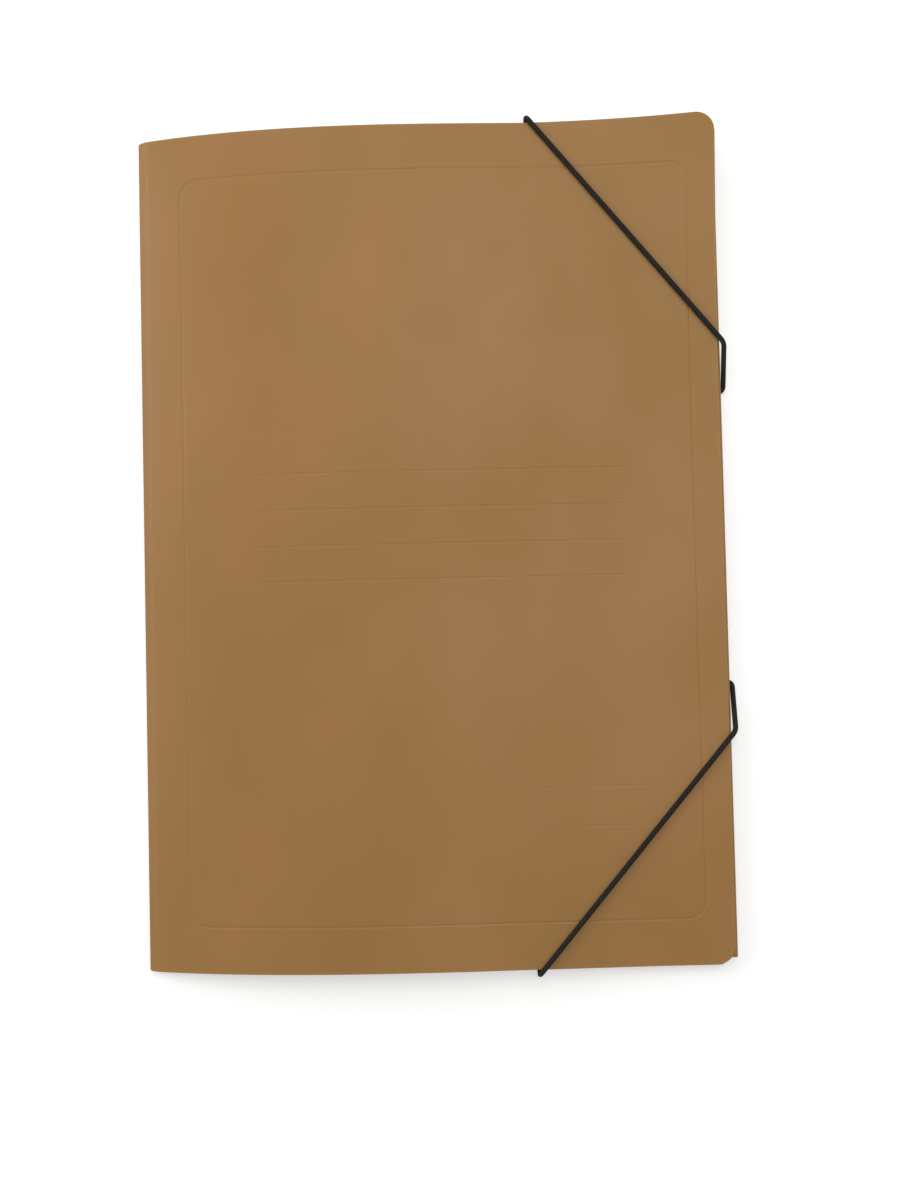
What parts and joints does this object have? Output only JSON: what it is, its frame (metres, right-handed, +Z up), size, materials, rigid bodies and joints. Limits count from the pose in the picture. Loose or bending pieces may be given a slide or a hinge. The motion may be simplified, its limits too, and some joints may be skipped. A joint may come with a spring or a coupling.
{
  "type": "three flap folder",
  "caption": "Closed pressboard document folder with an opening front cover, inner flaps and elastic corner straps.",
  "frame": {"origin": "middle of the folder's outline, on the surface it lies on", "axes": "+X from the spine to the fore edge, +Y to the top edge, +Z up out of the front cover"},
  "size_m": [0.245, 0.355, 0.0159],
  "materials": {
    "pressboard": "satin",
    "elastic": "matte",
    "eyelet_metal": "satin"
  },
  "bodies": {
    "back": {"back_and_flaps": "pressboard", "elastic_upper": "elastic", "elastic_lower": "elastic", "eyelet_upper": "eyelet_metal", "eyelet_lower": "eyelet_metal", "clip_upper": "eyelet_metal", "clip_lower": "eyelet_metal"},
    "cover": {"front_cover": "pressboard"}
  },
  "joints": [
    {"name": "cover_hinge", "type": "hinge", "parent": "back", "child": "cover", "pos_m": [-0.12275, 0, 0.00275], "axis": [0, -1, 0], "range_deg": [0, 168], "deforming": ["elastic_upper", "elastic_lower"]}
  ]
}
